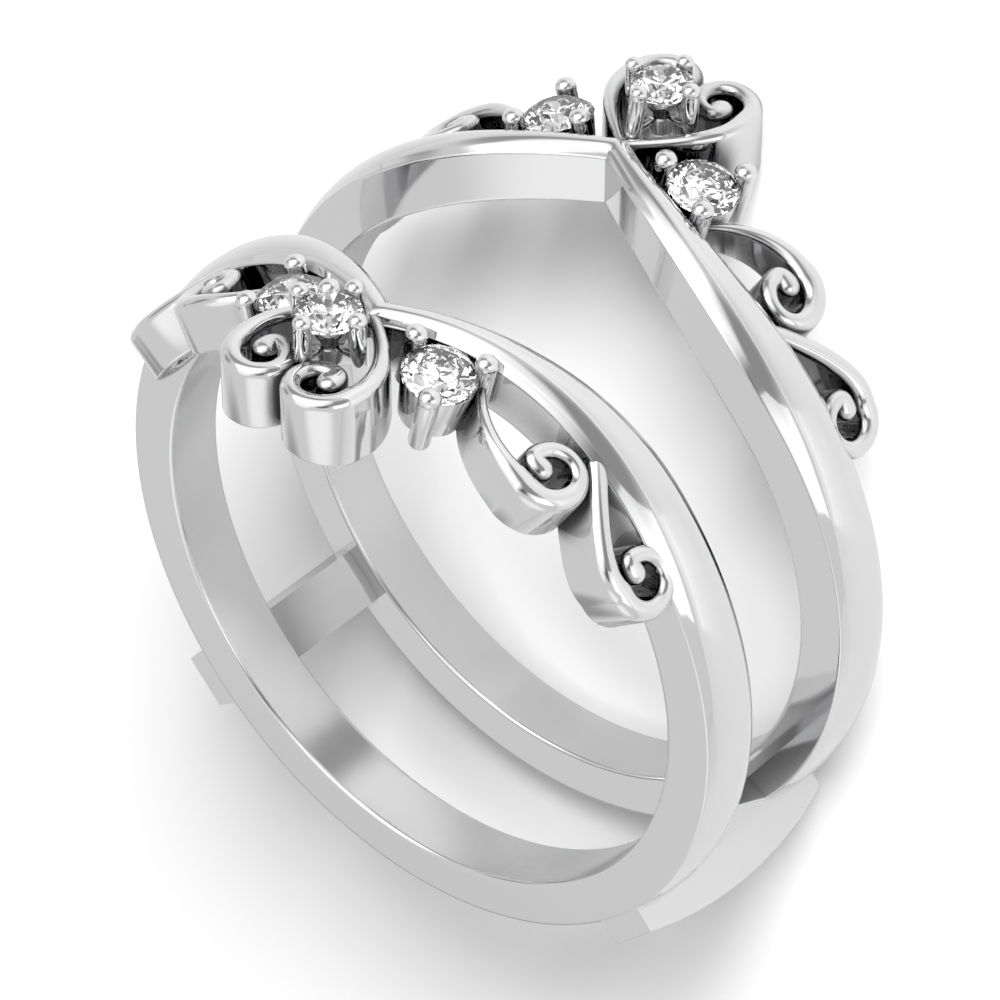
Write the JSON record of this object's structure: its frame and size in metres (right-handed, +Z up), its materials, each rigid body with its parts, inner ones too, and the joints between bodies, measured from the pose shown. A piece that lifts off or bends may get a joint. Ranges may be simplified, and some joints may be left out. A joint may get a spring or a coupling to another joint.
{
  "type": "finger ring",
  "caption": "Open ring guard: two domed bands joined by bridge bars near the back, each swinging out to a peak with curled scrolls, a heart of ribbons and claw-set round clear stones",
  "frame": {"origin": "on the floor under the middle of the ring's length and width, as it lies on its flank", "axes": "+Z up; -Y towards the stones at the top of the ring, +Y towards the back of the shank; +X to the right of someone who looks along +Y at the stones; the finger hole's axis lies in the YZ plane and leans 15.6 degrees from +Z towards +Y"},
  "size_m": [0.0204, 0.0238, 0.0175],
  "materials": {
    "white_metal": "mirror polished",
    "clear_stone": "faceted and polished"
  },
  "bodies": {
    "root": {"ring_frame": "white_metal", "upper_centre_stone": "clear_stone", "lower_centre_stone": "clear_stone", "upper_left_stone": "clear_stone", "upper_right_stone": "clear_stone", "lower_left_stone": "clear_stone", "lower_right_stone": "clear_stone"}
  },
  "joints": []
}
